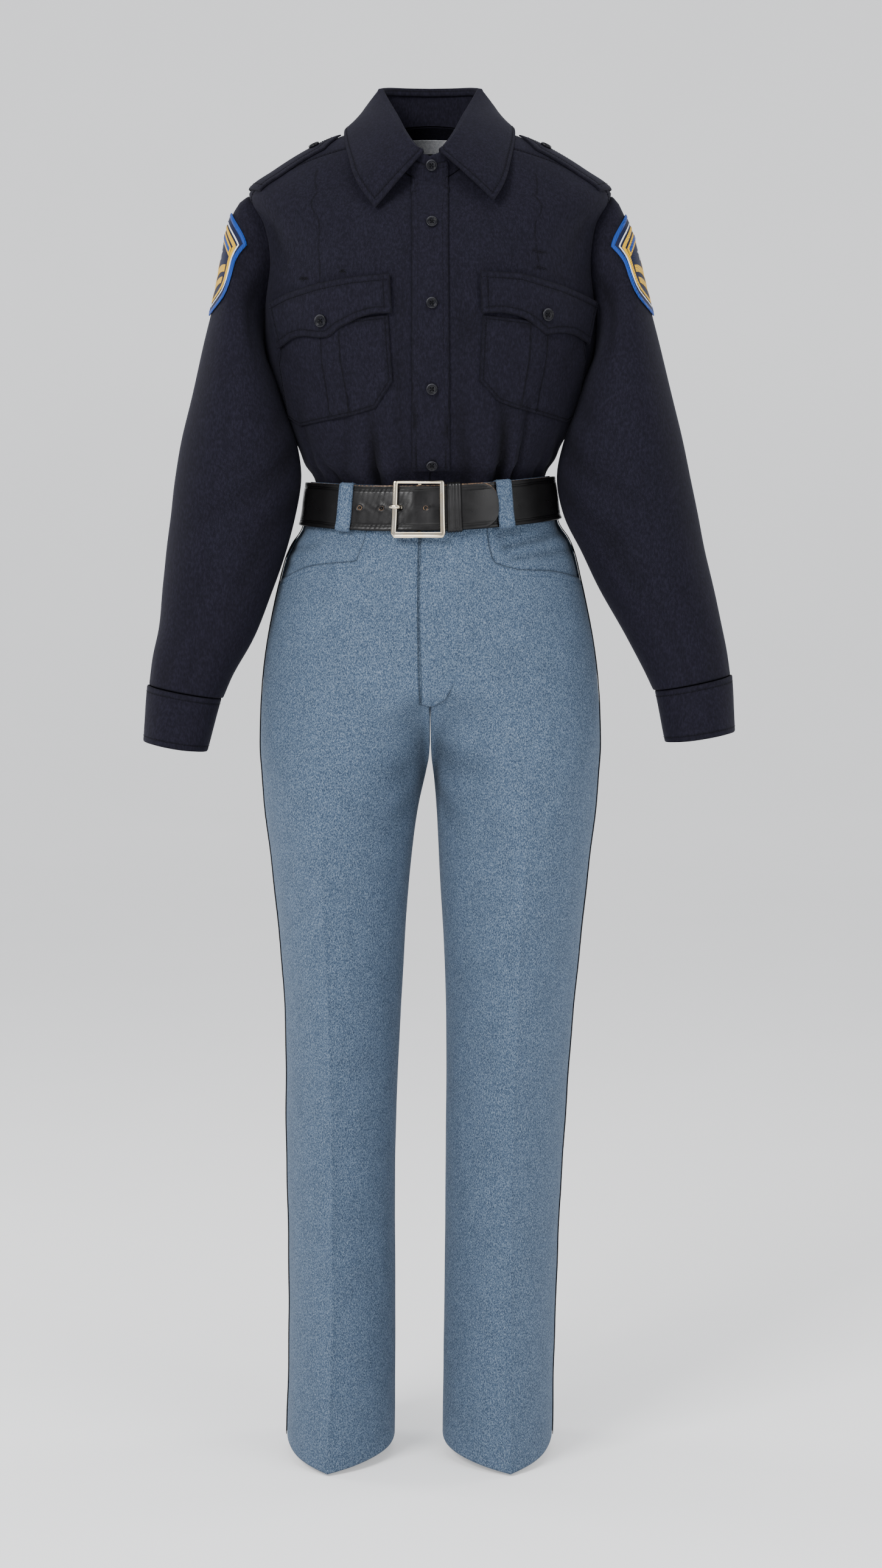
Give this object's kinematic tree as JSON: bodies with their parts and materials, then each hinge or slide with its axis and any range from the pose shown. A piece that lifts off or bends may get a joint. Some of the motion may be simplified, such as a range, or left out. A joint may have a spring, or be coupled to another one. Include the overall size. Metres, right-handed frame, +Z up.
{
  "type": "police uniform",
  "caption": "Long-sleeve shirt with flap pockets and shoulder straps, tucked into creased side-braided trousers and worn with a buckled leather belt, filled out as when worn.",
  "frame": {"origin": "middle of the neck base, where the garment sits round the wearer's neck", "axes": "+Z up, -Y towards the wearer's front, +X towards the wearer's left"},
  "size_m": [0.592, 0.255, 1.3897],
  "materials": {
    "shirt_cloth": "dark navy twill with a faint dry sheen",
    "trouser_cloth": "blue-grey heather twill, matt, with pressed creases",
    "braid": "flat black woven braid",
    "leather": "smooth black leather with a soft gloss",
    "nickel": "polished nickel plate",
    "button": "glossy dark resin",
    "patch": "embroidered twill with a merrowed edge",
    "label": "plain pale woven tape"
  },
  "bodies": {
    "root": {"belt_keeper": "leather", "belt_loop_back": "trouser_cloth", "belt_loop_left": "trouser_cloth", "belt_loop_right": "trouser_cloth", "belt_loop_side_left": "trouser_cloth", "belt_loop_side_right": "trouser_cloth", "belt_strap": "leather", "buckle_bar": "nickel", "buckle_frame": "nickel", "buckle_prong": "nickel", "collar_fall": "shirt_cloth", "collar_stand": "shirt_cloth", "cuff_left": "shirt_cloth", "cuff_left_button": "button", "cuff_right": "shirt_cloth", "cuff_right_button": "button", "epaulette_left": "shirt_cloth", "epaulette_left_button": "button", "epaulette_right": "shirt_cloth", "epaulette_right_button": "button", "flap_left": "shirt_cloth", "flap_left_button": "button", "flap_right": "shirt_cloth", "flap_right_button": "button", "fly": "trouser_cloth", "neck_button": "button", "neck_label": "label", "patch_left": "patch", "patch_right": "patch", "placket": "shirt_cloth", "placket_button_1": "button", "placket_button_2": "button", "placket_button_3": "button", "placket_button_4": "button", "pocket_facing_left": "trouser_cloth", "pocket_facing_right": "trouser_cloth", "pocket_left": "shirt_cloth", "pocket_right": "shirt_cloth", "shirt_back": "shirt_cloth", "shirt_front_left": "shirt_cloth", "shirt_front_right": "shirt_cloth", "shirt_yoke": "shirt_cloth", "side_braid_left": "braid", "side_braid_right": "braid", "sleeve_left_back": "shirt_cloth", "sleeve_left_front": "shirt_cloth", "sleeve_right_back": "shirt_cloth", "sleeve_right_front": "shirt_cloth", "trouser_back_left": "trouser_cloth", "trouser_back_right": "trouser_cloth", "trouser_front_left": "trouser_cloth", "trouser_front_right": "trouser_cloth", "waistband": "trouser_cloth"}
  },
  "joints": []
}
